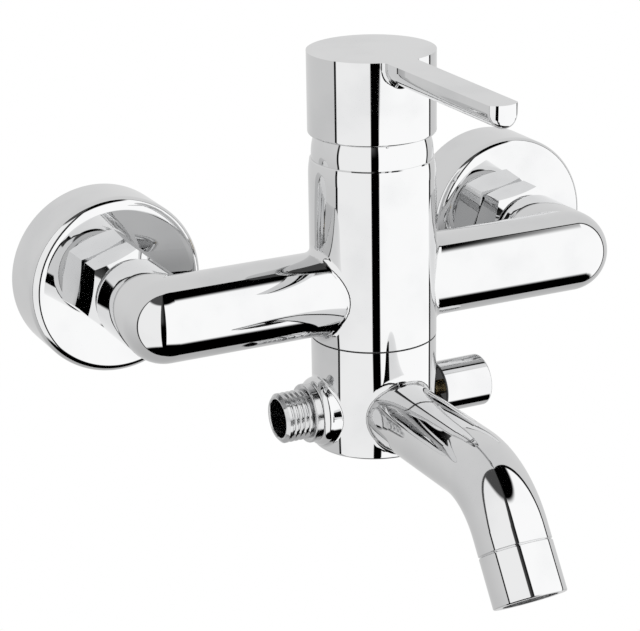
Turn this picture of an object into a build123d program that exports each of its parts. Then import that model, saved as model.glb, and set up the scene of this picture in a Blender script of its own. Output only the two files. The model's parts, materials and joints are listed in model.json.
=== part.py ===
from build123d import *
import os
from math import asin, cos, degrees, radians, sin, sqrt, tan

os.makedirs("parts", exist_ok=True)

# Wall mounted single lever bath mixer with a swinging spout, a pull diverter and a hose outlet.
# Millimetres, +Z up. The wall is the plane Y = 0 and the mixer stands out from it towards -Y.
# The origin is on the wall, midway between the two inlets.

# Placement
inlet_spacing = 150.0          # between the hot and the cold inlet
axis_out = 58.3                # from the wall to the upright axis of the body
outlet_z = -41.1               # level of the hose outlet and the diverter
spout_z = -39.6                # level of the spout where it leaves the body

# Clearances
thread_clearance = 0.05        # radial, screwed and plugged joints
running_clearance = 0.05       # radial, shafts that turn or slide in a bush
face_clearance = 0.1           # between flat faces that slide on each other
side_clearance = 0.2           # beside keys and guides
stop_gap = 0.3                 # between a moving face and its stop

# Escutcheons
escutcheon_radius = 30.1
escutcheon_depth = 19.4        # to the seat of the nut
escutcheon_dish = 1.2          # the rim stands out from the seat
escutcheon_seat_radius = 13.2
escutcheon_wall = 1.2
escutcheon_round = 3.6

# Wall unions
wall_thread_radius = 10.48     # G 1/2
wall_thread_length = 18.0      # length inside the wall
union_hex_flats = 26.0
union_hex_start = 2.0          # from the wall
union_hex_length = 6.0
union_thread_radius = 12.0     # M24
union_bore_radius = 7.0
union_grip = 6.4               # thread inside the nut

# Coupling nuts and tail pieces
nut_flats = 27.0
nut_turns = (18.5, 11.0)       # degrees about the inlet axes, left and right
nut_face_inset = 0.8           # the flat end rings stop this far inside the flats
nut_chamfer_angle = 30.0
nut_lip = 2.0
inlet_washer_thickness = 1.7
inlet_washer_bore_radius = 7.4
tail_flange_thickness = 1.9
tail_shank_radius = 8.9
tail_bore_radius = 6.9
tail_thread_length = 10.0
inlet_gap = 1.2                # between the nut and the body

# Mixer body
body_radius = 20.9
body_top = 43.9
body_bottom = -16.4
shoulder_height = 5.6          # the top of the barrel curves in over this height
shoulder_inset = 0.5
shoulder_chamfer = 0.35
arm_radius = 13.85
arm_blend = 2.4
elbow_blend = 3.0              # inside corner of the elbows
inlet_round = 3.5
water_way_radius = 7.4
web_half_width = 6.0           # solid web between the two water ways
inlet_port = (9.0, 3.0)        # right of and behind the barrel axis
outlet_port = (0.0, -7.0)
port_radius = 3.0
seat_z = 14.0

# Swivel joint under the body
swing = 60.0                   # degrees to either side
spigot_radius = 14.0
spigot_length = 12.6
spigot_bore_radius = 8.0
spigot_bore_roof = 4.0         # above the underside of the body
swivel_ring_thickness = 0.5
swivel_ring_inset = 0.5
o_ring_section_radius = 1.1
o_ring_groove_width = 2.5
o_ring_offsets = (-2.2, -10.0)  # from the underside of the body
stop_slot_offset = -6.1
stop_tip_radius = 1.4
stop_tip_reach = 2.0           # into the spigot
stop_thread_radius = 2.5       # M5
stop_screw_inset = 1.0

# Cartridge
cartridge_radius = 17.5
cartridge_wall = 1.7
cartridge_base_height = 6.0
cartridge_seal_height = 1.5
cartridge_seal_section = 1.8
fixed_disc_thickness = 4.0
moving_disc_thickness = 4.0
moving_disc_radius = 11.2
mixing_pocket_radius = 6.6
mixing_pocket_depth = 2.2
slider_width = 15.0
slider_length = 17.0
slider_height = 4.8
carrier_floor = 3.2            # above the slider
carrier_neck_radius = 9.5
carrier_top_above_pivot = 3.8
housing_roof = 3.5
stem_slot_length = 15.0

# Lever stem and its pivot
pivot_z = 45.2
lift = 17.0                    # degrees the lever can be raised
stem_width = 8.0
stem_top = 71.0
stem_square_below_pivot = 8.5
stem_neck_radius = 1.7
stem_ball_radius = 2.4
stem_ball_lift = 2.8           # ball centre above the moving disc
ball_clearance = 0.5
pin_radius = 1.5
pin_length = 15.0

# Lock nut and cover ring
lock_nut_thickness = 3.0
lock_nut_bore_radius = 11.0
lock_neck_radius = 14.0
lock_neck_height = 5.0
spanner_slot_width = 4.0
spanner_slot_depth = 2.0
cover_radius = 19.9            # dome about the pivot
cover_height = 12.1
cover_wall = 1.5
cover_floor = 1.6

# Handle
handle_radius = 20.95
handle_top = 79.2
handle_bottom = 52.1
rim_clearance = 0.3            # between the rim and the dome
rim_round = 0.8
rim_bore_height = 4.2
skirt_bore_radius = 18.4
skirt_bore_height = 9.4
crown_bore_radius = 14.0
handle_roof = 4.2
hub_radius = 8.2
hub_bottom = 54.0
lever_reach = 85.0             # from the barrel axis to the tip
lever_root_width = 11.2
lever_root_inset = 4.0         # the lever starts this far inside the cap
lever_root_blend = 2.0         # between the lever and the cap
lever_tip_width = 9.9
lever_tip_crown = 6.8          # radius of the end of the lever, seen from above
lever_tip_round = 2.0
lever_depth = 7.4
grip_screw_z = 63.0
grip_screw_radius = 2.5        # M5
grip_screw_length = 8.0
hex_key_flats = 2.5
hex_key_depth = 2.5

# Spout body
spout_body_radius = 20.8
spout_body_bottom = -54.4
spout_body_round = 0.9
boss_blend = 1.0               # between the barrel and the boss
spout_blend = 2.5              # between the barrel and the spout
hose_boss_radius = 11.55
hose_boss_stand = 2.9          # beyond the barrel
hose_boss_overrun = 0.1        # the round of the boss goes this far past the barrel's side
chamber_inlet_radius = 4.0
chamber_inlet_x = -3.0

# Hose outlet
hose_thread_radius = 8.33      # G 3/8
hose_thread_depth = 0.6
hose_thread_pitch = 1.75
hose_thread_flat = 0.35        # at the crests and at the roots
hose_thread_ridges = 5
hose_lip_length = 0.96         # coned end in front of the last ridge
hose_lip_radius = 7.23
hose_mouth_round = 0.5
hose_flange_radius = 9.9
hose_flange_thickness = 2.6
hose_flange_round = 0.6
hose_bore_radius = 6.43
hose_shank_radius = 7.6
hose_shank_length = 6.7
hose_seal_thickness = 1.0

# Diverter
left_seat_x = -9.0
seat_wall = 2.0
seat_hole_radius = 5.0
right_seat_x = 4.0
chamber_radius = 7.5
bonnet_bore_radius = 8.6
bonnet_plug_start = 13.0
bonnet_plug_end = 18.4
bonnet_bar = 2.6
side_port_radius = 3.2
side_port_x = 9.0
poppet_radius = 6.3
poppet_thickness = 2.4
poppet_seal_thickness = 1.5
poppet_seal_bore_radius = 3.2
diverter_stem_radius = 2.5
stem_o_ring_section = 0.9
stem_o_ring_x = 16.6
knob_radius = 8.8
knob_start = 23.1
knob_length = 18.1
knob_round = 1.2
knob_edge = 0.4
knob_thread_length = 12.0

# Spout
spout_radius = 11.7
spout_wall = 1.5
spout_socket_out = 16.0        # inner end of the tube, from the barrel axis
spout_straight_out = 64.3      # start of the bend
spout_bend_radius = 30.1
spout_bend_angle = 56.0
spout_nose = 5.95

# Aerator
aerator_length = 16.5
aerator_wall = 0.8
aerator_lip = 1.5
aerator_mouth_radius = 8.8
aerator_washer_thickness = 1.5
aerator_washer_bore_radius = 7.6
aerator_neck_length = 7.0
aerator_neck_wall = 1.5
aerator_edge = 0.3
aerator_gap = 0.25             # seam between the spout and the collar
insert_wall = 1.0
insert_plate = 1.4
insert_hole_radius = 0.8
insert_hole_rings = (3.2, 6.4)
insert_holes = (6, 12)

# Places worked out from the sizes above
union_end = escutcheon_depth + union_grip
tail_start = union_end + inlet_washer_thickness
nut_back = escutcheon_depth
nut_front = tail_start + tail_flange_thickness + nut_lip
inlet_face = nut_front + inlet_gap
tail_end = inlet_face + tail_thread_length
half_spacing = inlet_spacing / 2

chamber_bore_radius = cartridge_radius + thread_clearance
base_top = seat_z + cartridge_base_height
fixed_disc_top = base_top + fixed_disc_thickness
moving_disc_bottom = fixed_disc_top + face_clearance
moving_disc_top = moving_disc_bottom + moving_disc_thickness
ball_z = moving_disc_top + stem_ball_lift
slider_top = moving_disc_top + slider_height
disc_travel = (pivot_z - ball_z) * radians(lift)
disc_back = disc_travel / 2
carrier_bottom = moving_disc_top + stop_gap
channel_top = slider_top + side_clearance
carrier_shoulder = channel_top + carrier_floor
housing_ceiling = carrier_shoulder + face_clearance
housing_top = housing_ceiling + housing_roof
housing_bore_radius = cartridge_radius - cartridge_wall
carrier_flange_radius = housing_bore_radius - stop_gap
carrier_top = pivot_z + carrier_top_above_pivot
lock_nut_top = housing_top + lock_nut_thickness
lock_neck_top = body_top + lock_neck_height
cover_top = body_top + cover_height

spigot_bottom = body_bottom - spigot_length
spout_body_top = body_bottom - swivel_ring_thickness - face_clearance
socket_radius = spigot_radius + running_clearance
socket_floor = spigot_bottom - stop_gap
o_ring_radius = spigot_radius - o_ring_section_radius - running_clearance
o_ring_groove_radius = o_ring_radius - o_ring_section_radius - thread_clearance
stop_z = body_bottom + stop_slot_offset
stop_slot_floor = spigot_radius - stop_tip_reach - stop_gap

poppet_stack = poppet_thickness + 2 * poppet_seal_thickness
poppet_start = left_seat_x + stop_gap + poppet_seal_thickness
poppet_end = poppet_start + poppet_thickness
diverter_travel = right_seat_x - left_seat_x - poppet_stack - 2 * stop_gap
bonnet_radius = bonnet_bore_radius - thread_clearance
hose_passage_start = left_seat_x - seat_wall
hose_boss_reach = spout_body_radius + hose_boss_stand
hose_boss_round = hose_boss_stand + hose_boss_overrun
hose_shank_end = hose_boss_reach - hose_shank_length
hose_flange_end = hose_boss_reach + hose_flange_thickness
hose_thread_length = hose_thread_ridges * hose_thread_pitch + hose_lip_length
hose_mouth = hose_flange_end + hose_thread_length

bend = radians(spout_bend_angle)
bend_out = spout_straight_out + spout_bend_radius * sin(bend)
bend_z = spout_z - spout_bend_radius * (1 - cos(bend))
half_bend_out = spout_straight_out + spout_bend_radius * sin(bend / 2)
half_bend_z = spout_z - spout_bend_radius * (1 - cos(bend / 2))
seam_out = bend_out + spout_nose * cos(bend)
seam_z = bend_z - spout_nose * sin(bend)

# Axes, and the planes on which round profiles are drawn as (radius, place along the axis)
barrel_axis = Axis((0, -axis_out, 0), (0, 0, 1))
barrel_side = Plane.XZ.offset(axis_out)
outlet_axis = Axis((0, -axis_out, outlet_z), (1, 0, 0))
outlet_side = Plane(origin=(0, -axis_out, outlet_z), x_dir=(0, 0, 1), z_dir=(0, 1, 0))
seam_point = (0, -axis_out - seam_out, seam_z)
nose_axis = Axis(seam_point, (0, -cos(bend), -sin(bend)))
nose_side = Plane(origin=seam_point, x_dir=(1, 0, 0), z_dir=(0, sin(bend), -cos(bend)))
nose_face = Plane(origin=seam_point, x_dir=(1, 0, 0), z_dir=(0, -cos(bend), -sin(bend)))


def level(height):
    # level plane at a height, centred on the barrel, x to the right and y to the wall
    return Plane((0, -axis_out, height))


def outlet_plane(x):
    # upright plane across the outlet axis that faces +X
    return Plane(origin=(x, -axis_out, outlet_z), x_dir=(0, 1, 0), z_dir=(1, 0, 0))


def spun(points, side, axis, mode=Mode.ADD):
    # closed profile turned about an axis
    with BuildSketch(side) as outline:
        with BuildLine():
            Polyline(*points, close=True)
        make_face()
    revolve(outline.sketch, axis=axis, mode=mode)


def ring(inner, outer, start, end, side, axis, mode=Mode.ADD):
    # plain ring between two places along an axis
    spun([(inner, start), (outer, start), (outer, end), (inner, end)], side, axis, mode)


def bored(plane, spots, radius, depth, mode=Mode.SUBTRACT):
    # round holes of one size, drilled along the normal of a plane
    with BuildSketch(plane) as holes:
        with Locations(*spots):
            Circle(radius)
    extrude(holes.sketch, amount=depth, mode=mode)


def crossings(piece):
    # edges of the last step where curved faces cross
    round_or_straight = (GeomType.CIRCLE, GeomType.LINE)
    return piece.edges(Select.LAST).filter_by(lambda edge: edge.geom_type not in round_or_straight)


def dish_at(radius):
    # depth of the escutcheon's face, flat at the seat and rising to the rim
    rise = (radius**2 - escutcheon_seat_radius**2) / (escutcheon_radius**2 - escutcheon_seat_radius**2)
    return escutcheon_depth + escutcheon_dish * rise


def d_section(out, width, top):
    # flat on top, round below, across the lever at a distance from the barrel axis
    half = width / 2
    low = handle_top - lever_depth
    with BuildSketch(Plane.XZ.offset(axis_out + out)) as section:
        with BuildLine():
            Polyline((-half, low + half), (-half, top), (half, top), (half, low + half))
            ThreePointArc((half, low + half), (0, low), (-half, low + half))
        make_face()
    return section.sketch


port_spots = [(-inlet_port[0], inlet_port[1]), inlet_port, outlet_port]

# Wall fittings, the same on both sides
for side, hand, nut_turn in ((-1, "left", nut_turns[0]), (1, "right", nut_turns[1])):
    inlet_x = side * half_spacing
    inlet_axis = Axis((inlet_x, 0, 0), (0, -1, 0))
    inlet_side = Plane(origin=(inlet_x, 0, 0), x_dir=(1, 0, 0), z_dir=(0, 0, -1))

    with BuildPart() as wall_union:
        spun(
            [
                (union_bore_radius, -wall_thread_length),
                (wall_thread_radius, -wall_thread_length),
                (wall_thread_radius, union_hex_start),
                (union_thread_radius, union_hex_start),
                (union_thread_radius, union_end),
                (union_bore_radius, union_end),
            ],
            inlet_side,
            inlet_axis,
        )
        with BuildSketch(Plane.XZ.offset(union_hex_start)):
            with Locations((inlet_x, 0)):
                RegularPolygon(union_hex_flats / 2, 6, major_radius=False)
                Circle(union_bore_radius, mode=Mode.SUBTRACT)
        extrude(amount=union_hex_length)
    wall_union.part.label = f"{hand}_wall_union"
    export_step(wall_union.part, f"parts/{hand}_wall_union.step")

    # dished cup that hides the hole in the wall, open to the wall
    with BuildPart() as escutcheon:
        hole = union_thread_radius + thread_clearance
        inside = escutcheon_radius - escutcheon_wall
        seat = escutcheon_seat_radius
        middle = (seat + escutcheon_radius) / 2
        outer_face = [(radius, dish_at(radius)) for radius in (seat, middle, escutcheon_radius)]
        inner_face = [(radius, dish_at(radius) - escutcheon_wall) for radius in (seat, middle, inside)]
        with BuildSketch(inlet_side) as cup:
            with BuildLine():
                ThreePointArc(*outer_face)
                Polyline(outer_face[-1], (escutcheon_radius, 0), (inside, 0), inner_face[-1])
                ThreePointArc(*inner_face)
                back = escutcheon_depth - escutcheon_wall
                Polyline(inner_face[0], (hole, back), (hole, escutcheon_depth), outer_face[0])
            make_face()
            corners = cup.vertices().sort_by(lambda corner: corner.X + corner.Y)
            fillet(corners[-1], escutcheon_round)
            fillet(corners[-2], escutcheon_round - escutcheon_wall)
        revolve(cup.sketch, axis=inlet_axis)
    escutcheon.part.label = f"{hand}_escutcheon"
    export_step(escutcheon.part, f"parts/{hand}_escutcheon.step")

    # hexagon nut with coned ends, its lip draws the tail piece to the union
    with BuildPart() as coupling_nut:
        with BuildSketch(Plane.XZ.offset(nut_back)):
            with Locations((inlet_x, 0)):
                RegularPolygon(nut_flats / 2, 6, major_radius=False, rotation=nut_turn)
        extrude(amount=nut_front - nut_back)
        nut_corner = nut_flats / sqrt(3)
        nut_face = nut_flats / 2 - nut_face_inset
        cone_drop = (nut_corner - nut_face) * tan(radians(nut_chamfer_angle))
        spun(
            [
                (0, nut_back),
                (nut_face, nut_back),
                (nut_corner, nut_back + cone_drop),
                (nut_corner, nut_front - cone_drop),
                (nut_face, nut_front),
                (0, nut_front),
            ],
            inlet_side,
            inlet_axis,
            Mode.INTERSECT,
        )
        thread = union_thread_radius + thread_clearance
        shank = tail_shank_radius + thread_clearance
        ring(0, thread, nut_back, nut_front - nut_lip, inlet_side, inlet_axis, Mode.SUBTRACT)
        ring(0, shank, nut_back, nut_front, inlet_side, inlet_axis, Mode.SUBTRACT)
    coupling_nut.part.label = f"{hand}_coupling_nut"
    export_step(coupling_nut.part, f"parts/{hand}_coupling_nut.step")

    with BuildPart() as inlet_washer:
        ring(inlet_washer_bore_radius, union_thread_radius, union_end, tail_start, inlet_side, inlet_axis)
    inlet_washer.part.label = f"{hand}_inlet_washer"
    export_step(inlet_washer.part, f"parts/{hand}_inlet_washer.step")

    with BuildPart() as tail_piece:
        flange_end = tail_start + tail_flange_thickness
        spun(
            [
                (tail_bore_radius, tail_start),
                (union_thread_radius, tail_start),
                (union_thread_radius, flange_end),
                (tail_shank_radius, flange_end),
                (tail_shank_radius, tail_end),
                (tail_bore_radius, tail_end),
            ],
            inlet_side,
            inlet_axis,
        )
    tail_piece.part.label = f"{hand}_tail_piece"
    export_step(tail_piece.part, f"parts/{hand}_tail_piece.step")

# Casting: an upright barrel, two arms with ball shaped elbows, and the spigot that carries the spout body
with BuildPart() as mixer_body:
    with BuildSketch(barrel_side):
        with BuildLine():
            shoulder = (body_radius, body_top - shoulder_height)
            rim = (body_radius - shoulder_inset, body_top - shoulder_chamfer)
            rim_top = (body_radius - shoulder_inset - shoulder_chamfer, body_top)
            Polyline(rim_top, (0, body_top), (0, body_bottom), (body_radius, body_bottom), shoulder)
            TangentArc(shoulder, rim, tangent=(0, 1))
            Line(rim, rim_top)
        make_face()
    revolve(axis=barrel_axis)
    with BuildSketch(Plane.YZ):
        with Locations((-axis_out, 0)):
            Circle(arm_radius)
    extrude(amount=half_spacing, both=True)
    fillet(crossings(mixer_body), arm_blend)
    for side in (-1, 1):
        with BuildSketch(Plane.XZ.offset(inlet_face)):
            with Locations((side * half_spacing, 0)):
                Circle(arm_radius)
        extrude(amount=axis_out - inlet_face)
        with Locations((side * half_spacing, -axis_out, 0)):
            Sphere(arm_radius)
    fillet(mixer_body.edges().filter_by(GeomType.ELLIPSE), elbow_blend)
    inlet_edges = mixer_body.edges().filter_by(GeomType.CIRCLE).group_by(Axis.Y)[-1]
    fillet(inlet_edges, inlet_round)
    # cartridge chamber
    ring(0, chamber_bore_radius, seat_z, body_top, barrel_side, barrel_axis, Mode.SUBTRACT)
    # water ways along the arms, with a web between them
    for side in (-1, 1):
        web = Plane(origin=(side * web_half_width, -axis_out, 0), z_dir=(side, 0, 0))
        bored(web, [(0, 0)], water_way_radius, half_spacing - web_half_width)
        inlet = Plane.XZ.offset(inlet_face)
        bored(inlet, [(side * half_spacing, 0)], tail_shank_radius + thread_clearance, tail_thread_length)
        bored(inlet, [(side * half_spacing, 0)], water_way_radius, axis_out - inlet_face)
    bored(level(0), port_spots[:2], port_radius, seat_z)
    # spigot, its bore and the way up to the cartridge
    roof = body_bottom + spigot_bore_roof
    ring(0, spigot_radius, spigot_bottom, roof, barrel_side, barrel_axis)
    ring(0, spigot_bore_radius, spigot_bottom, roof, barrel_side, barrel_axis, Mode.SUBTRACT)
    bored(level(roof), [outlet_port], port_radius, seat_z - roof)
    # grooves for the two O-rings
    for offset_z in o_ring_offsets:
        low = body_bottom + offset_z - o_ring_groove_width / 2
        high = low + o_ring_groove_width
        ring(o_ring_groove_radius, spigot_radius, low, high, barrel_side, barrel_axis, Mode.SUBTRACT)
    # slot at the back in which the stop screw travels
    slot_half = stop_tip_radius + stop_gap
    slot_angle = swing + degrees(asin(slot_half / stop_slot_floor))
    start = radians(90 - slot_angle)
    slot_plane = Plane(
        origin=(0, -axis_out, stop_z),
        x_dir=(cos(start), sin(start), 0),
        z_dir=(sin(start), -cos(start), 0),
    )
    with BuildSketch(slot_plane):
        with Locations(((stop_slot_floor + spigot_radius) / 2, 0)):
            Rectangle(spigot_radius - stop_slot_floor, 2 * slot_half)
    revolve(axis=barrel_axis, revolution_arc=2 * slot_angle, mode=Mode.SUBTRACT)
mixer_body.part.label = "mixer_body"
export_step(mixer_body.part, "parts/mixer_body.step")

# Cartridge, from the seat upwards
with BuildPart() as cartridge_base:
    ring(0, cartridge_radius, seat_z, base_top, barrel_side, barrel_axis)
    bored(level(seat_z), port_spots, port_radius, cartridge_base_height)
    bored(level(seat_z), port_spots, port_radius + cartridge_seal_section, cartridge_seal_height)
cartridge_base.part.label = "cartridge_base"
export_step(cartridge_base.part, "parts/cartridge_base.step")

with BuildPart() as cartridge_seals:
    with BuildSketch(level(seat_z)):
        with Locations(*port_spots):
            Circle(port_radius + cartridge_seal_section - thread_clearance)
            Circle(port_radius, mode=Mode.SUBTRACT)
    extrude(amount=cartridge_seal_height)
cartridge_seals.part.label = "cartridge_seals"
export_step(cartridge_seals.part, "parts/cartridge_seals.step")

with BuildPart() as cartridge_housing:
    spun(
        [
            (housing_bore_radius, base_top),
            (cartridge_radius, base_top),
            (cartridge_radius, housing_top),
            (carrier_neck_radius + running_clearance, housing_top),
            (carrier_neck_radius + running_clearance, housing_ceiling),
            (housing_bore_radius, housing_ceiling),
        ],
        barrel_side,
        barrel_axis,
    )
cartridge_housing.part.label = "cartridge_housing"
export_step(cartridge_housing.part, "parts/cartridge_housing.step")

with BuildPart() as fixed_ceramic_disc:
    ring(0, housing_bore_radius - thread_clearance, base_top, fixed_disc_top, barrel_side, barrel_axis)
    bored(level(base_top), port_spots, port_radius, fixed_disc_thickness)
fixed_ceramic_disc.part.label = "fixed_ceramic_disc"
export_step(fixed_ceramic_disc.part, "parts/fixed_ceramic_disc.step")

# The moving disc stands back by half its travel while the lever is down
with BuildPart() as moving_ceramic_disc:
    with BuildSketch(level(moving_disc_bottom)):
        with Locations((0, disc_back)):
            Circle(moving_disc_radius)
    extrude(amount=moving_disc_thickness)
    bored(level(moving_disc_bottom), [(0, disc_back)], mixing_pocket_radius, mixing_pocket_depth)
moving_ceramic_disc.part.label = "moving_ceramic_disc"
export_step(moving_ceramic_disc.part, "parts/moving_ceramic_disc.step")

with BuildPart() as disc_slider:
    with BuildSketch(level(moving_disc_top)):
        with Locations((0, disc_back)):
            Rectangle(slider_width, slider_length)
        Circle(stem_ball_radius + ball_clearance, mode=Mode.SUBTRACT)
    extrude(amount=slider_height)
disc_slider.part.label = "disc_slider"
export_step(disc_slider.part, "parts/disc_slider.step")

# The carrier turns with the lever, holds its pivot pin and guides the slider from front to back
with BuildPart() as lever_carrier:
    spun(
        [
            (0, carrier_bottom),
            (carrier_flange_radius, carrier_bottom),
            (carrier_flange_radius, carrier_shoulder),
            (carrier_neck_radius, carrier_shoulder),
            (carrier_neck_radius, carrier_top),
            (0, carrier_top),
        ],
        barrel_side,
        barrel_axis,
    )
    with BuildSketch(level(carrier_bottom)):
        Rectangle(slider_width + 2 * side_clearance, 2 * carrier_flange_radius)
    extrude(amount=channel_top - carrier_bottom, mode=Mode.SUBTRACT)
    with BuildSketch(level(carrier_bottom)):
        Rectangle(stem_width + 2 * side_clearance, stem_slot_length)
    extrude(amount=carrier_top - carrier_bottom, mode=Mode.SUBTRACT)
    with BuildSketch(Plane.YZ):
        with Locations((-axis_out, pivot_z)):
            Circle(pin_radius + thread_clearance)
    extrude(amount=pin_length / 2 + thread_clearance, both=True, mode=Mode.SUBTRACT)
lever_carrier.part.label = "lever_carrier"
export_step(lever_carrier.part, "parts/lever_carrier.step")

with BuildPart() as pivot_pin:
    with BuildSketch(Plane.YZ):
        with Locations((-axis_out, pivot_z)):
            Circle(pin_radius)
    extrude(amount=pin_length / 2, both=True)
pivot_pin.part.label = "pivot_pin"
export_step(pivot_pin.part, "parts/pivot_pin.step")

with BuildPart() as lever_stem:
    square_bottom = pivot_z - stem_square_below_pivot
    with BuildSketch(level(square_bottom)):
        Rectangle(stem_width, stem_width)
    extrude(amount=stem_top - square_bottom)
    ring(0, stem_neck_radius, ball_z, square_bottom, barrel_side, barrel_axis)
    with Locations((0, -axis_out, ball_z)):
        Sphere(stem_ball_radius)
    with BuildSketch(Plane.YZ):
        with Locations((-axis_out, pivot_z)):
            Circle(pin_radius + running_clearance)
    extrude(amount=stem_width, both=True, mode=Mode.SUBTRACT)
lever_stem.part.label = "lever_stem"
export_step(lever_stem.part, "parts/lever_stem.step")

# Ring nut that holds the cartridge down, with a threaded neck for the cover ring
with BuildPart() as cartridge_lock_nut:
    spun(
        [
            (lock_nut_bore_radius, housing_top),
            (cartridge_radius, housing_top),
            (cartridge_radius, lock_nut_top),
            (lock_neck_radius, lock_nut_top),
            (lock_neck_radius, lock_neck_top),
            (lock_nut_bore_radius, lock_neck_top),
        ],
        barrel_side,
        barrel_axis,
    )
    with BuildSketch(level(lock_neck_top)):
        Rectangle(2 * lock_neck_radius, spanner_slot_width)
        Rectangle(spanner_slot_width, 2 * lock_neck_radius)
    extrude(amount=-spanner_slot_depth, mode=Mode.SUBTRACT)
cartridge_lock_nut.part.label = "cartridge_lock_nut"
export_step(cartridge_lock_nut.part, "parts/cartridge_lock_nut.step")

# Dome about the pivot, so that the rim of the handle follows it as the lever is raised
with BuildPart() as cover_ring:
    hub_inner = lock_neck_radius + thread_clearance
    hub_outer = hub_inner + cover_wall
    foot = sqrt(cover_radius**2 - (body_top - pivot_z) ** 2)
    crest = sqrt(cover_radius**2 - (cover_top - pivot_z) ** 2)
    with BuildSketch(barrel_side):
        with BuildLine():
            ThreePointArc((foot, body_top), (cover_radius, pivot_z), (crest, cover_top))
            Polyline(
                (crest, cover_top),
                (crest - cover_wall, cover_top),
                (foot - cover_wall, body_top + cover_floor),
                (hub_outer, body_top + cover_floor),
                (hub_outer, lock_neck_top),
                (hub_inner, lock_neck_top),
                (hub_inner, body_top),
                (foot, body_top),
            )
        make_face()
    revolve(axis=barrel_axis)
cover_ring.part.label = "cover_ring"
export_step(cover_ring.part, "parts/cover_ring.step")

# Cap with a socket for the stem, and the lever flush with its top
with BuildPart() as lever_handle:
    rim_inner = sqrt((cover_radius + rim_clearance) ** 2 - (handle_bottom - pivot_z) ** 2)
    roof = handle_top - handle_roof
    # the cap and the lever start too high, so that the blend between them runs out above their top
    raised = handle_top + 2 * lever_depth
    spun(
        [
            (0, raised),
            (handle_radius, raised),
            (handle_radius, handle_bottom),
            (rim_inner, handle_bottom),
            (rim_inner, handle_bottom + rim_bore_height),
            (skirt_bore_radius, handle_bottom + rim_bore_height),
            (skirt_bore_radius, handle_bottom + skirt_bore_height),
            (crown_bore_radius, handle_bottom + skirt_bore_height),
            (crown_bore_radius, roof),
            (hub_radius, roof),
            (hub_radius, hub_bottom),
            (0, hub_bottom),
        ],
        barrel_side,
        barrel_axis,
    )
    outer_edges = lever_handle.edges().filter_by(GeomType.CIRCLE).group_by(SortBy.RADIUS)[-1].sort_by(Axis.Z)
    fillet(outer_edges[0], rim_round)
    root_section = d_section(handle_radius - lever_root_inset, lever_root_width, raised)
    loft([root_section, d_section(lever_reach, lever_tip_width, raised)])
    half_way = -axis_out - lever_reach / 2
    fillet(crossings(lever_handle).filter_by(lambda edge: edge.center().Y > half_way), lever_root_blend)
    split(bisect_by=level(handle_top), keep=Keep.BOTTOM)
    # the end of the lever is crowned
    with BuildSketch(level(handle_top)):
        with Locations((0, -lever_reach)):
            Rectangle(2 * lever_tip_crown, 2 * lever_tip_crown)
        with Locations((0, lever_tip_crown - lever_reach)):
            Circle(lever_tip_crown, mode=Mode.SUBTRACT)
    extrude(amount=-2 * lever_depth, mode=Mode.SUBTRACT)
    tip_edges = lever_handle.faces().sort_by(Axis.Y)[0].edges().sort_by(Axis.Z)
    fillet(tip_edges[:-1], lever_tip_round)
    socket = stem_width + 2 * thread_clearance
    with BuildSketch(level(hub_bottom)):
        Rectangle(socket, socket)
    extrude(amount=stem_top - hub_bottom, mode=Mode.SUBTRACT)
    # hole at the back for the screw that grips the stem
    back_hole = Plane.XZ.offset(axis_out)
    bored(back_hole, [(0, grip_screw_z)], grip_screw_radius + thread_clearance, -handle_radius)
lever_handle.part.label = "lever_handle"
export_step(lever_handle.part, "parts/lever_handle.step")

with BuildPart() as handle_screw:
    screw_start = stem_width / 2 + thread_clearance
    screw_plane = Plane.XZ.offset(axis_out - screw_start)
    bored(screw_plane, [(0, grip_screw_z)], grip_screw_radius, -grip_screw_length, Mode.ADD)
    with BuildSketch(Plane.XZ.offset(axis_out - screw_start - grip_screw_length)):
        with Locations((0, grip_screw_z)):
            RegularPolygon(hex_key_flats / 2, 6, major_radius=False)
    extrude(amount=hex_key_depth, mode=Mode.SUBTRACT)
handle_screw.part.label = "handle_screw"
export_step(handle_screw.part, "parts/handle_screw.step")

# Swivel pieces on the spigot
with BuildPart() as swivel_ring:
    ring_inner = spigot_radius + thread_clearance
    ring_outer = spout_body_radius - swivel_ring_inset
    ring(ring_inner, ring_outer, body_bottom - swivel_ring_thickness, body_bottom, barrel_side, barrel_axis)
swivel_ring.part.label = "swivel_ring"
export_step(swivel_ring.part, "parts/swivel_ring.step")

with BuildPart() as spigot_o_rings:
    with Locations(*[(0, -axis_out, body_bottom + offset_z) for offset_z in o_ring_offsets]):
        Torus(o_ring_radius, o_ring_section_radius)
spigot_o_rings.part.label = "spigot_o_rings"
export_step(spigot_o_rings.part, "parts/spigot_o_rings.step")

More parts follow.
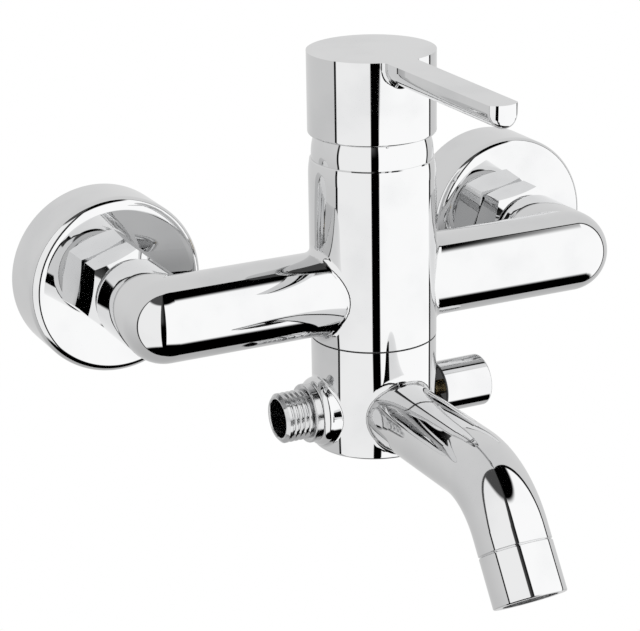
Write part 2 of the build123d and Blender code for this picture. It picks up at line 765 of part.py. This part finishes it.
# Lower casting that turns on the spigot and holds the spout, the hose outlet and the diverter
with BuildPart() as spout_body:
    # the barrel starts longer than it is, so that the blend of the boss runs out at its lower end
    ring(0, spout_body_radius, spout_body_bottom - hose_boss_radius, spout_body_top, barrel_side, barrel_axis)
    spout_neck = spout_body_radius + 2 * spout_blend
    bored(Plane.XZ.offset(axis_out), [(0, spout_z)], spout_radius, spout_neck, Mode.ADD)
    fillet(crossings(spout_body), spout_blend)
    bored(outlet_plane(0), [(0, 0)], hose_boss_radius, -hose_boss_reach, Mode.ADD)
    fillet(crossings(spout_body), boss_blend)
    fillet(spout_body.faces().sort_by(Axis.X)[0].edges(), hose_boss_round)
    split(bisect_by=level(spout_body_bottom), keep=Keep.TOP)
    fillet(spout_body.faces().sort_by(Axis.Z)[0].edges(), spout_body_round)
    ring(0, socket_radius, socket_floor, spout_body_top, barrel_side, barrel_axis, Mode.SUBTRACT)
    # bore from the right for the bonnet, then the chamber between the two seats
    bored(outlet_plane(spout_body_radius), [(0, 0)], bonnet_bore_radius, right_seat_x - spout_body_radius)
    bored(outlet_plane(right_seat_x), [(0, 0)], chamber_radius, left_seat_x - right_seat_x)
    bored(outlet_plane(left_seat_x), [(0, 0)], seat_hole_radius, -seat_wall)
    # way to the hose and the thread of its nipple
    passage_end = -hose_shank_end + hose_seal_thickness
    nipple_thread = hose_shank_radius + thread_clearance
    bored(outlet_plane(hose_passage_start), [(0, 0)], hose_bore_radius, -hose_boss_reach - hose_passage_start)
    bored(outlet_plane(passage_end), [(0, 0)], nipple_thread, -hose_boss_reach - passage_end)
    # inlet from the spigot above, socket of the spout and the side port that feeds it
    bored(level(outlet_z), [(chamber_inlet_x, 0)], chamber_inlet_radius, socket_floor - outlet_z)
    spout_socket = Plane.XZ.offset(axis_out + spout_socket_out)
    bored(spout_socket, [(0, spout_z)], spout_radius + thread_clearance, spout_neck - spout_socket_out)
    bored(Plane.XZ.offset(axis_out), [(side_port_x, outlet_z)], side_port_radius, spout_socket_out)
    # threaded hole at the back for the stop screw
    bored(Plane.XZ.offset(axis_out), [(0, stop_z)], stop_thread_radius + thread_clearance, -spout_body_radius)
spout_body.part.label = "spout_body"
export_step(spout_body.part, "parts/spout_body.step")

with BuildPart() as stop_screw:
    tip_end = spigot_radius - stop_tip_reach
    thread_start = socket_radius + stop_gap
    thread_end = spout_body_radius - stop_screw_inset
    bored(Plane.XZ.offset(axis_out - tip_end), [(0, stop_z)], stop_tip_radius, tip_end - thread_end, Mode.ADD)
    screw_plane = Plane.XZ.offset(axis_out - thread_start)
    bored(screw_plane, [(0, stop_z)], stop_thread_radius, thread_start - thread_end, Mode.ADD)
    with BuildSketch(Plane.XZ.offset(axis_out - thread_end)):
        with Locations((0, stop_z)):
            RegularPolygon(hex_key_flats / 2, 6, major_radius=False)
    extrude(amount=hex_key_depth, mode=Mode.SUBTRACT)
stop_screw.part.label = "stop_screw"
export_step(stop_screw.part, "parts/stop_screw.step")

# Hose outlet: a nipple with an outside thread, screwed into the boss
with BuildPart() as hose_nipple:
    profile = [
        (hose_bore_radius, -hose_shank_end),
        (hose_shank_radius, -hose_shank_end),
        (hose_shank_radius, -hose_boss_reach),
        (hose_flange_radius, -hose_boss_reach),
        (hose_flange_radius, -hose_flange_end),
    ]
    thread_root = hose_thread_radius - hose_thread_depth
    for ridge in range(hose_thread_ridges):
        root_start = hose_flange_end + ridge * hose_thread_pitch
        crest_start = root_start + hose_thread_pitch / 2
        profile.append((thread_root, -root_start))
        profile.append((thread_root, -root_start - hose_thread_flat))
        profile.append((hose_thread_radius, -crest_start))
        profile.append((hose_thread_radius, -crest_start - hose_thread_flat))
    profile.append((hose_thread_radius, -hose_mouth + hose_lip_length))
    profile.append((hose_lip_radius, -hose_mouth))
    profile.append((hose_bore_radius, -hose_mouth))
    spun(profile, outlet_side, outlet_axis)
    bore_rims = hose_nipple.edges().filter_by(GeomType.CIRCLE).group_by(SortBy.RADIUS)[0]
    fillet(bore_rims.sort_by(Axis.X)[0], hose_mouth_round)
    flange_rims = hose_nipple.edges().filter_by(GeomType.CIRCLE).group_by(SortBy.RADIUS)[-1]
    fillet(flange_rims.sort_by(Axis.X)[0], hose_flange_round)
hose_nipple.part.label = "hose_nipple"
export_step(hose_nipple.part, "parts/hose_nipple.step")

with BuildPart() as hose_nipple_seal:
    seal_start = -hose_shank_end
    seal_end = -hose_shank_end + hose_seal_thickness
    ring(hose_bore_radius, hose_shank_radius, seal_start, seal_end, outlet_side, outlet_axis)
hose_nipple_seal.part.label = "hose_nipple_seal"
export_step(hose_nipple_seal.part, "parts/hose_nipple_seal.step")

# Diverter: a bonnet that carries the right seat on two bars, and the parts that slide in it
with BuildPart() as diverter_bonnet:
    bore = diverter_stem_radius + running_clearance
    seat_end = right_seat_x + seat_wall
    ring(seat_hole_radius, bonnet_radius, right_seat_x, seat_end, outlet_side, outlet_axis)
    ring(bore, bonnet_radius, bonnet_plug_start, bonnet_plug_end, outlet_side, outlet_axis)
    with BuildSketch(outlet_plane(seat_end)):
        Circle(bonnet_radius)
        Circle(seat_hole_radius, mode=Mode.SUBTRACT)
        Rectangle(bonnet_bar, 2 * bonnet_radius, mode=Mode.INTERSECT)
    extrude(amount=bonnet_plug_start - seat_end)
    groove_outer = bore + 2 * stem_o_ring_section + thread_clearance
    groove_start = stem_o_ring_x - stem_o_ring_section - thread_clearance
    groove_end = stem_o_ring_x + stem_o_ring_section + thread_clearance
    ring(bore, groove_outer, groove_start, groove_end, outlet_side, outlet_axis, Mode.SUBTRACT)
diverter_bonnet.part.label = "diverter_bonnet"
export_step(diverter_bonnet.part, "parts/diverter_bonnet.step")

with BuildPart() as diverter_stem_o_ring:
    with Locations(Plane(origin=(stem_o_ring_x, -axis_out, outlet_z), z_dir=(1, 0, 0))):
        Torus(diverter_stem_radius + running_clearance + stem_o_ring_section, stem_o_ring_section)
diverter_stem_o_ring.part.label = "diverter_stem_o_ring"
export_step(diverter_stem_o_ring.part, "parts/diverter_stem_o_ring.step")

with BuildPart() as diverter_poppet:
    stem_end = knob_start + knob_thread_length
    ring(0, poppet_radius, poppet_start, poppet_end, outlet_side, outlet_axis)
    hub = poppet_seal_bore_radius - thread_clearance
    hub_start = poppet_start - poppet_seal_thickness / 2
    hub_end = poppet_end + poppet_seal_thickness / 2
    ring(0, hub, hub_start, hub_end, outlet_side, outlet_axis)
    ring(0, diverter_stem_radius, poppet_end, stem_end, outlet_side, outlet_axis)
diverter_poppet.part.label = "diverter_poppet"
export_step(diverter_poppet.part, "parts/diverter_poppet.step")

with BuildPart() as poppet_seals:
    for seal_start in (poppet_start - poppet_seal_thickness, poppet_end):
        seal_end = seal_start + poppet_seal_thickness
        ring(poppet_seal_bore_radius, poppet_radius, seal_start, seal_end, outlet_side, outlet_axis)
poppet_seals.part.label = "poppet_seals"
export_step(poppet_seals.part, "parts/poppet_seals.step")

with BuildPart() as diverter_knob:
    ring(0, knob_radius, knob_start, knob_start + knob_length, outlet_side, outlet_axis)
    knob_edges = diverter_knob.edges().filter_by(GeomType.CIRCLE).sort_by(Axis.X)
    fillet(knob_edges[-1], knob_round)
    fillet(diverter_knob.edges().filter_by(GeomType.CIRCLE).sort_by(Axis.X)[0], knob_edge)
    bored(outlet_plane(knob_start), [(0, 0)], diverter_stem_radius + thread_clearance, knob_thread_length)
diverter_knob.part.label = "diverter_knob"
export_step(diverter_knob.part, "parts/diverter_knob.step")

# Spout: a straight tube with one bend, and a neck for the aerator
with BuildPart() as spout:
    with BuildLine():
        root = (0, -axis_out - spout_socket_out, spout_z)
        bend_start = (0, -axis_out - spout_straight_out, spout_z)
        bend_middle = (0, -axis_out - half_bend_out, half_bend_z)
        bend_end = (0, -axis_out - bend_out, bend_z)
        Line(root, bend_start)
        ThreePointArc(bend_start, bend_middle, bend_end)
        Line(bend_end, seam_point)
    with BuildSketch(Plane(origin=root, x_dir=(1, 0, 0), z_dir=(0, -1, 0))):
        Circle(spout_radius)
        Circle(spout_radius - spout_wall, mode=Mode.SUBTRACT)
    sweep()
    chamfer(spout.faces().sort_by(nose_axis)[-1].outer_wire().edges(), aerator_edge)
    neck_outer = spout_radius - aerator_wall - thread_clearance
    neck_inner = neck_outer - aerator_neck_wall
    ring(neck_inner, neck_outer, -spout_nose / 2, aerator_neck_length, nose_side, nose_axis)
spout.part.label = "spout"
export_step(spout.part, "parts/spout.step")

# Aerator: a collar that screws on the neck and clamps the washer and the insert
with BuildPart() as aerator_collar:
    bore = spout_radius - aerator_wall
    lip_start = aerator_length - aerator_lip
    spun(
        [
            (bore, aerator_gap),
            (spout_radius - aerator_edge, aerator_gap),
            (spout_radius, aerator_gap + aerator_edge),
            (spout_radius, aerator_length - aerator_edge),
            (spout_radius - aerator_edge, aerator_length),
            (aerator_mouth_radius, aerator_length),
            (aerator_mouth_radius, lip_start),
            (bore, lip_start),
        ],
        nose_side,
        nose_axis,
    )
aerator_collar.part.label = "aerator_collar"
export_step(aerator_collar.part, "parts/aerator_collar.step")

with BuildPart() as aerator_washer:
    washer_end = aerator_neck_length + aerator_washer_thickness
    ring(aerator_washer_bore_radius, neck_outer, aerator_neck_length, washer_end, nose_side, nose_axis)
aerator_washer.part.label = "aerator_washer"
export_step(aerator_washer.part, "parts/aerator_washer.step")

with BuildPart() as aerator_insert:
    plate_start = lip_start - insert_plate
    ring(neck_outer - insert_wall, neck_outer, washer_end, lip_start, nose_side, nose_axis)
    ring(0, neck_outer, plate_start, lip_start, nose_side, nose_axis)
    with BuildSketch(nose_face.offset(plate_start)):
        Circle(insert_hole_radius)
        for hole_ring, count in zip(insert_hole_rings, insert_holes):
            with PolarLocations(hole_ring, count):
                Circle(insert_hole_radius)
    extrude(amount=insert_plate, mode=Mode.SUBTRACT)
aerator_insert.part.label = "aerator_insert"
export_step(aerator_insert.part, "parts/aerator_insert.step")

print(f"moving disc travel {disc_travel:.2f} mm for a lift of {lift:.0f} degrees")
print(f"diverter travel {diverter_travel:.2f} mm")
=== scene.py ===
import json
import math

import bpy
from mathutils import Matrix, Vector


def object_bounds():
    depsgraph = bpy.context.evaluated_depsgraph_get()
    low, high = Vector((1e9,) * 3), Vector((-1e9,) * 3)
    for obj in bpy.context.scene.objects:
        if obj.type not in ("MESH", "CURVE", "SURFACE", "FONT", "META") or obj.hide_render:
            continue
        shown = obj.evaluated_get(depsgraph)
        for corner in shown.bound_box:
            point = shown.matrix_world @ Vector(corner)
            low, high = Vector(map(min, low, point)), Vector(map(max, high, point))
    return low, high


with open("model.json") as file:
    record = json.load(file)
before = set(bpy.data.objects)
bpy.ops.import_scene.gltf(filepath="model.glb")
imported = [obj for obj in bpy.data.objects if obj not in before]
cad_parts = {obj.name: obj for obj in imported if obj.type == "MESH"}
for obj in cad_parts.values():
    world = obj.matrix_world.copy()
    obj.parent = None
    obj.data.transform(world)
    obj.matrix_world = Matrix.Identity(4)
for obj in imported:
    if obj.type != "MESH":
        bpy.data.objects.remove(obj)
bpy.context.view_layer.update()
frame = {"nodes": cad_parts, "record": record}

nodes = frame["nodes"]
scene = bpy.context.scene
scene.view_settings.view_transform = "Standard"
bpy.ops.object.select_all(action="DESELECT")
print("frame loaded:", len(nodes), "nodes")


class Wire:
    # a socket of a node tree; operators on it add Math nodes
    def __init__(self, tree, socket=None):
        self.tree = tree
        self.socket = socket

    def node(self, kind, settings=None, inputs=None, out=0):
        made = self.tree.nodes.new(kind)
        for name, value in (settings or {}).items():
            setattr(made, name, value)
        for name, value in (inputs or {}).items():
            if isinstance(value, Wire):
                self.tree.links.new(value.socket, made.inputs[name])
            else:
                made.inputs[name].default_value = value
        return Wire(self.tree, made.outputs[out] if len(made.outputs) else None)

    def maths(self, operation, *values):
        return self.node("ShaderNodeMath", {"operation": operation}, dict(enumerate(values)))

    def __add__(self, other):
        return self.maths("ADD", self, other)

    def __radd__(self, other):
        return self.maths("ADD", other, self)

    def __sub__(self, other):
        return self.maths("SUBTRACT", self, other)

    def __rsub__(self, other):
        return self.maths("SUBTRACT", other, self)

    def __mul__(self, other):
        return self.maths("MULTIPLY", self, other)

    def __rmul__(self, other):
        return self.maths("MULTIPLY", other, self)

    def rises(self, start, end):
        # 0 below start, 1 above end, smooth between
        return self.node("ShaderNodeMapRange", {"interpolation_type": "SMOOTHSTEP"},
                         {"Value": self, "From Min": start, "From Max": end})

    def within(self, low, high, soft):
        # 1 between low and high, 0 outside
        return self.rises(low - soft, low + soft) * (1 - self.rises(high - soft, high + soft))

    def blend(self, first, second):
        # a colour that goes from first to second as this value goes from 0 to 1
        return self.node("ShaderNodeMix", {"data_type": "RGBA"}, {0: self, 6: first, 7: second}, out=2)


# camera at the angle of the photograph
cameraView = {
    "azimuth": -26.04,
    "elevation": 19.36,
    "roll": -0.95,
    "distance": 0.76103,
    "target": (-0.02058, -0.060, -0.00709),
    "lens": 130.857,
}


def placeCamera():
    a = math.radians(cameraView["azimuth"])
    e = math.radians(cameraView["elevation"])
    r = math.radians(cameraView["roll"])
    back = Vector((math.sin(a) * math.cos(e), -math.cos(a) * math.cos(e), math.sin(e)))
    level = Vector((math.cos(a), math.sin(a), 0))
    rise = back.cross(level)
    right = math.cos(r) * level + math.sin(r) * rise
    up = math.cos(r) * rise - math.sin(r) * level
    eye = Vector(cameraView["target"]) + back * cameraView["distance"]
    bpy.ops.object.camera_add()
    camera = bpy.context.object
    camera.name = "camera"
    camera.data.lens = cameraView["lens"]
    camera.data.clip_start = 0.01
    turn = Matrix((right, up, back)).transposed().to_4x4()
    camera.matrix_world = Matrix.Translation(eye) @ turn
    scene.camera = camera


placeCamera()
print("camera placed")

# two soft panels in front with a slot between them, a dark hood round them and a pale sweep behind;
# sides and heights are in degrees as the object sees them
studio = {
    "sweep": {"low": 0.58, "high": 0.85, "height": (-70, 15)},
    "hood": (-96.4, 100.0),
    "hoodSoft": 0.2,
    "panels": [
        {"side": (-92.2, -29.5), "height": (-54.0, 58.0), "glow": 1.18},
        {"side": (-15.2, 94.5), "height": (-48.0, 58.8), "glow": 1.35},
    ],
    "panelSoft": {"side": 0.8, "height": 3.2},
    "overLeft": {"glow": 0.09, "height": (0, 20), "side": (-30, -15)},  # dim light above the left panel alone
    "fill": 0.85,  # all round, for what is no mirror
}


def lightStudio():
    world = bpy.data.worlds.new("studio")
    world.use_nodes = True
    world.node_tree.nodes.clear()
    scene.world = world
    sky = Wire(world.node_tree)
    ray = sky.node("ShaderNodeTexCoord", out=0)
    parts = ray.node("ShaderNodeSeparateXYZ", inputs={"Vector": ray}).socket.node
    x, y, z = [Wire(sky.tree, socket) for socket in parts.outputs]
    side = sky.maths("ARCTAN2", x, 0 - y) * math.degrees(1)
    height = sky.maths("ARCSINE", z) * math.degrees(1)
    inHood = side.within(*studio["hood"], studio["hoodSoft"])
    over = studio["overLeft"]
    glow = over["glow"] * height.rises(*over["height"]) * (1 - side.rises(*over["side"]))
    soft = studio["panelSoft"]
    for panel in studio["panels"]:
        lit = side.within(*panel["side"], soft["side"]) * height.within(*panel["height"], soft["height"])
        glow = glow * (1 - lit) + panel["glow"] * lit
    sweep = studio["sweep"]
    behind = sweep["low"] + (sweep["high"] - sweep["low"]) * height.rises(*sweep["height"])
    mirrored = inHood * glow + (1 - inHood) * behind
    path = sky.node("ShaderNodeLightPath").socket.node
    seen = Wire(sky.tree, path.outputs["Is Camera Ray"])
    glossy = Wire(sky.tree, path.outputs["Is Glossy Ray"])
    level = seen + (1 - seen) * (glossy * mirrored + (1 - glossy) * studio["fill"])
    light = sky.node("ShaderNodeBackground", inputs={"Color": (1, 1, 1, 1), "Strength": level})
    sky.node("ShaderNodeOutputWorld", inputs={"Surface": light})


lightStudio()

# pale floor below the object; mirrors look past it
floorPlane = {"drop": 0.30, "size": 6.0, "paint": (0.9, 0.9, 0.9, 1)}


def layFloor():
    low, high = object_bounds()
    middle = (low + high) / 2
    place = (middle.x, middle.y, low.z - floorPlane["drop"])
    bpy.ops.mesh.primitive_plane_add(size=floorPlane["size"], location=place)
    floor = bpy.context.object
    floor.name = "floor"
    floor.visible_glossy = False
    paint = bpy.data.materials.new("paleFloor")
    paint.use_nodes = True
    paint.node_tree.nodes.clear()
    wire = Wire(paint.node_tree)
    matt = wire.node("ShaderNodeBsdfDiffuse", inputs={"Color": floorPlane["paint"]})
    white = wire.node("ShaderNodeEmission", inputs={"Color": (1, 1, 1, 1), "Strength": 1})
    path = wire.node("ShaderNodeLightPath").socket.node
    seen = Wire(wire.tree, path.outputs["Is Camera Ray"])
    mixed = wire.node("ShaderNodeMixShader", inputs={0: seen, 1: matt, 2: white})
    wire.node("ShaderNodeOutputMaterial", inputs={"Surface": mixed})
    floor.data.materials.append(paint)


layFloor()
print("studio lit")


def newFinish(name):
    finish = bpy.data.materials.new(name)
    finish.use_nodes = True
    finish.node_tree.nodes.clear()
    wire = Wire(finish.node_tree)
    spot = wire.node("ShaderNodeTexCoord", out=3)
    return finish, wire, spot


def close(wire, inputs):
    shader = wire.node("ShaderNodeBsdfPrincipled", inputs=inputs)
    wire.node("ShaderNodeOutputMaterial", inputs={"Surface": shader})


def between(tone, pair):
    low, high = pair
    return low + tone * (high - low)


# mirror plating: a hint of haze where it was wiped, and no more
chromePlate = {
    "bright": (0.70, 0.702, 0.705, 1),
    "dull": (0.66, 0.663, 0.668, 1),
    "roughness": (0.015, 0.05),
    "hazeScale": 55.0,
}
threadPlate = {
    "bright": (0.60, 0.602, 0.605, 1),
    "dull": (0.52, 0.523, 0.528, 1),
    "roughness": (0.10, 0.22),
    "hazeScale": 300.0,
}
plating = {"detail": 3.0, "haze": (0.42, 0.72)}
# painted shade: the knob's face towards the barrel is painted black and not metallic, where the gap to the
# barrel lies in shadow
knobShadeFace = {
    "end": 0.0236,  # painted shade: the knob is painted black up to here, on the side of the barrel, standing in for the shadow in the gap to the barrel
    "soft": 0.0002,
    "shadeBlack": (0.01, 0.01, 0.01, 1),
}


def chromeFinish(name, recipe, shadeFace=None):
    finish, wire, spot = newFinish(name)
    haze = wire.node("ShaderNodeTexNoise", {},
                     {"Vector": spot, "Scale": recipe["hazeScale"], "Detail": plating["detail"]})
    wiped = haze.rises(*plating["haze"])
    colour = wiped.blend(recipe["bright"], recipe["dull"])
    unshaded = 1.0
    # painted shade: the given face is painted black and not metallic
    if shadeFace:
        across = wire.node("ShaderNodeSeparateXYZ", inputs={"Vector": spot})
        unshaded = across.rises(shadeFace["end"], shadeFace["end"] + shadeFace["soft"])
        colour = unshaded.blend(shadeFace["shadeBlack"], colour)
    close(wire, {"Base Color": colour, "Metallic": unshaded, "Roughness": between(wiped, recipe["roughness"])})
    return finish


# machined metal: a fine grain and a little staining
brassStock = {
    "bright": (0.80, 0.62, 0.32, 1),
    "dull": (0.75, 0.57, 0.28, 1),
    "roughness": (0.22, 0.38),
    "grain": 900.0,
}
steelStock = {
    "bright": (0.66, 0.67, 0.68, 1),
    "dull": (0.60, 0.61, 0.63, 1),
    "roughness": (0.25, 0.42),
    "grain": 1200.0,
}
machining = {"detail": 4.0, "stainScale": 90.0, "stainDetail": 5.0, "tone": (0.38, 0.66), "bump": 0.12}
bumpDepth = 0.0001


def machinedFinish(name, recipe):
    finish, wire, spot = newFinish(name)
    grain = wire.node("ShaderNodeTexNoise", {},
                      {"Vector": spot, "Scale": recipe["grain"], "Detail": machining["detail"]})
    stain = wire.node("ShaderNodeTexNoise", {},
                      {"Vector": spot, "Scale": machining["stainScale"], "Detail": machining["stainDetail"]})
    tone = (grain * 0.5 + stain * 0.5).rises(*machining["tone"])
    bump = wire.node("ShaderNodeBump", {},
                     {"Strength": machining["bump"], "Distance": bumpDepth, "Height": grain})
    close(wire, {
        "Base Color": tone.blend(recipe["bright"], recipe["dull"]),
        "Metallic": 1.0,
        "Roughness": between(tone, recipe["roughness"]),
        "Normal": bump,
    })
    return finish


# moulded and fired stuff
rubberStock = {
    "light": (0.035, 0.035, 0.036, 1),
    "dark": (0.012, 0.012, 0.012, 1),
    "roughness": (0.55, 0.75),
    "grain": 1500.0,
}
plasticStock = {
    "light": (0.78, 0.79, 0.80, 1),
    "dark": (0.68, 0.69, 0.71, 1),
    "roughness": (0.35, 0.5),
    "grain": 1100.0,
}
darkStock = {
    "light": (0.09, 0.09, 0.092, 1),
    "dark": (0.06, 0.06, 0.061, 1),
    "roughness": (0.4, 0.55),
    "grain": 1100.0,
}
ceramicStock = {
    "light": (0.93, 0.92, 0.88, 1),
    "dark": (0.86, 0.85, 0.80, 1),
    "roughness": (0.12, 0.25),
    "grain": 700.0,
}
moulding = {"detail": 4.0, "tone": (0.35, 0.68), "bump": 0.15}


def mouldedFinish(name, recipe):
    finish, wire, spot = newFinish(name)
    grain = wire.node("ShaderNodeTexNoise", {},
                      {"Vector": spot, "Scale": recipe["grain"], "Detail": moulding["detail"]})
    tone = grain.rises(*moulding["tone"])
    bump = wire.node("ShaderNodeBump", {},
                     {"Strength": moulding["bump"], "Distance": bumpDepth, "Height": grain})
    close(wire, {
        "Base Color": tone.blend(recipe["light"], recipe["dark"]),
        "Roughness": between(tone, recipe["roughness"]),
        "Normal": bump,
    })
    return finish


# one finish for each slot of the record
finishes = {
    "polished_chrome": chromeFinish("polishedChrome", chromePlate),
    "plated_thread": chromeFinish("platedThread", threadPlate),
    "bare_brass": machinedFinish("bareBrass", brassStock),
    "steel_fastener": machinedFinish("steelFastener", steelStock),
    "black_rubber": mouldedFinish("blackRubber", rubberStock),
    "moulded_plastic": mouldedFinish("mouldedPlastic", plasticStock),
    "dark_plastic": mouldedFinish("darkPlastic", darkStock),
    "white_ceramic": mouldedFinish("whiteCeramic", ceramicStock),
}
# chrome with painted shade on the knob's face towards the barrel
knobChromeWithShade = chromeFinish("knobChromeWithShade", chromePlate, knobShadeFace)
for entry in frame["record"]["subparts"]:
    finish = finishes[entry["material_slot"]]
    if entry["node"] == "diverter_knob":
        finish = knobChromeWithShade
    mesh = nodes[entry["node"]].data
    mesh.materials.clear()
    mesh.materials.append(finish)
print("finishes given to", len(nodes), "nodes")
